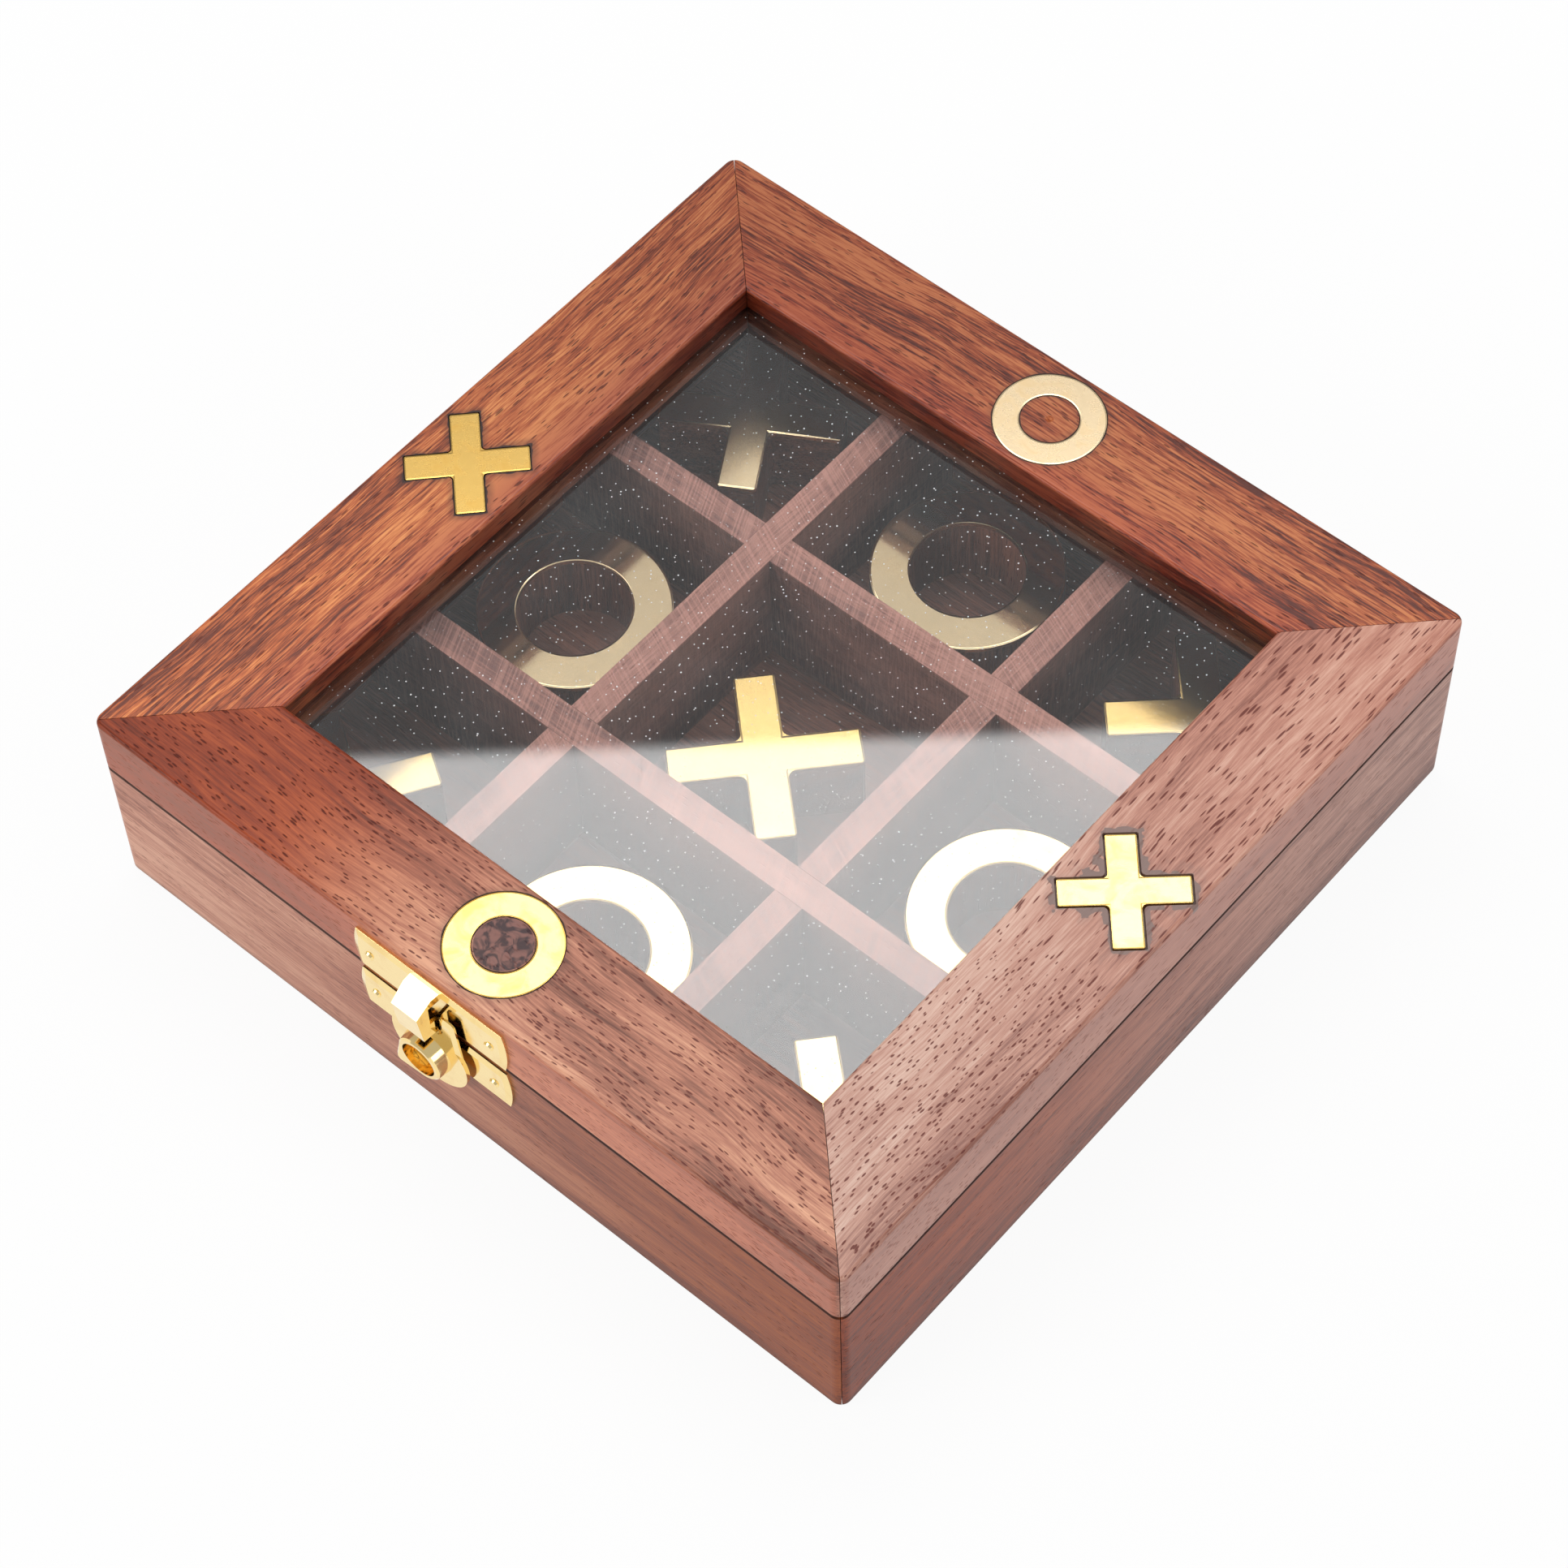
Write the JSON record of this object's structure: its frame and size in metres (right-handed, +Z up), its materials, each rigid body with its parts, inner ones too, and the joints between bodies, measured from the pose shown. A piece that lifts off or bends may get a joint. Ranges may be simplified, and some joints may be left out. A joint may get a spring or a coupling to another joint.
{
  "type": "tic-tac-toe board",
  "caption": "Square hinged wooden game box with a glass lid, inlaid rings and crosses, a turning clasp and loose brass-faced playing pieces in a grid of cells.",
  "frame": {"origin": "centre of the flat underside that the box rests on", "axes": "+Z up, the clasp on the -Y side, the hinges on the +Y side"},
  "size_m": [0.152, 0.1605, 0.0412],
  "materials": {
    "box_wood": "oiled",
    "divider_wood": "oiled",
    "piece_wood": "oiled",
    "piece_brass": "polished",
    "inlay_brass": "satin",
    "clasp_brass": "polished",
    "glass": "clear"
  },
  "bodies": {
    "base": {"base_front_wall": "box_wood", "base_right_wall": "box_wood", "base_back_wall": "box_wood", "base_left_wall": "box_wood", "base_floor": "box_wood", "divider_front": "divider_wood", "divider_back": "divider_wood", "divider_left": "divider_wood", "divider_right": "divider_wood", "clasp_base_plate": "clasp_brass", "clasp_base_nails": "clasp_brass", "clasp_rivet": "clasp_brass", "hinge_left_base_leaf": "clasp_brass", "hinge_right_base_leaf": "clasp_brass", "hinge_left_pin": "clasp_brass", "hinge_right_pin": "clasp_brass", "hinge_base_screws": "clasp_brass"},
    "lid": {"lid_front_rail": "box_wood", "lid_right_rail": "box_wood", "lid_back_rail": "box_wood", "lid_left_rail": "box_wood", "lid_front_inlay": "inlay_brass", "lid_right_inlay": "inlay_brass", "lid_back_inlay": "inlay_brass", "lid_left_inlay": "inlay_brass", "lid_glass": "glass", "glass_bead_front": "box_wood", "glass_bead_right": "box_wood", "glass_bead_back": "box_wood", "glass_bead_left": "box_wood", "clasp_lid_plate": "clasp_brass", "clasp_lid_nails": "clasp_brass", "hinge_left_lid_leaf": "clasp_brass", "hinge_right_lid_leaf": "clasp_brass", "hinge_lid_screws": "clasp_brass"},
    "latch": {"clasp_turn_latch": "clasp_brass"},
    "cross_back_left": {"cross_back_left_block": "piece_wood", "cross_back_left_face": "piece_brass"},
    "ring_back": {"ring_back_block": "piece_wood", "ring_back_face": "piece_brass"},
    "cross_back_right": {"cross_back_right_block": "piece_wood", "cross_back_right_face": "piece_brass"},
    "ring_left": {"ring_left_block": "piece_wood", "ring_left_face": "piece_brass"},
    "cross_centre": {"cross_centre_block": "piece_wood", "cross_centre_face": "piece_brass"},
    "ring_right": {"ring_right_block": "piece_wood", "ring_right_face": "piece_brass"},
    "cross_front_left": {"cross_front_left_block": "piece_wood", "cross_front_left_face": "piece_brass"},
    "ring_front": {"ring_front_block": "piece_wood", "ring_front_face": "piece_brass"},
    "cross_front_right": {"cross_front_right_block": "piece_wood", "cross_front_right_face": "piece_brass"}
  },
  "joints": [
    {"name": "lid_hinge", "type": "hinge", "parent": "base", "child": "lid", "pos_m": [0, 0.07762, 0.0293], "axis": [-1, 0, 0], "range_deg": [0, 180]},
    {"name": "latch_turn", "type": "hinge", "parent": "base", "child": "latch", "pos_m": [-0.0041, -0.0768, 0.02225], "axis": [0, 1, 0], "range_deg": [0, 110]},
    {"name": "cross_back_left_lift", "type": "slide", "parent": "base", "child": "cross_back_left", "axis": [0, 0, 1], "range_m": [0, 0.011]},
    {"name": "ring_back_lift", "type": "slide", "parent": "base", "child": "ring_back", "axis": [0, 0, 1], "range_m": [0, 0.011]},
    {"name": "cross_back_right_lift", "type": "slide", "parent": "base", "child": "cross_back_right", "axis": [0, 0, 1], "range_m": [0, 0.011]},
    {"name": "ring_left_lift", "type": "slide", "parent": "base", "child": "ring_left", "axis": [0, 0, 1], "range_m": [0, 0.011]},
    {"name": "cross_centre_lift", "type": "slide", "parent": "base", "child": "cross_centre", "axis": [0, 0, 1], "range_m": [0, 0.011]},
    {"name": "ring_right_lift", "type": "slide", "parent": "base", "child": "ring_right", "axis": [0, 0, 1], "range_m": [0, 0.011]},
    {"name": "cross_front_left_lift", "type": "slide", "parent": "base", "child": "cross_front_left", "axis": [0, 0, 1], "range_m": [0, 0.011]},
    {"name": "ring_front_lift", "type": "slide", "parent": "base", "child": "ring_front", "axis": [0, 0, 1], "range_m": [0, 0.011]},
    {"name": "cross_front_right_lift", "type": "slide", "parent": "base", "child": "cross_front_right", "axis": [0, 0, 1], "range_m": [0, 0.011]}
  ]
}
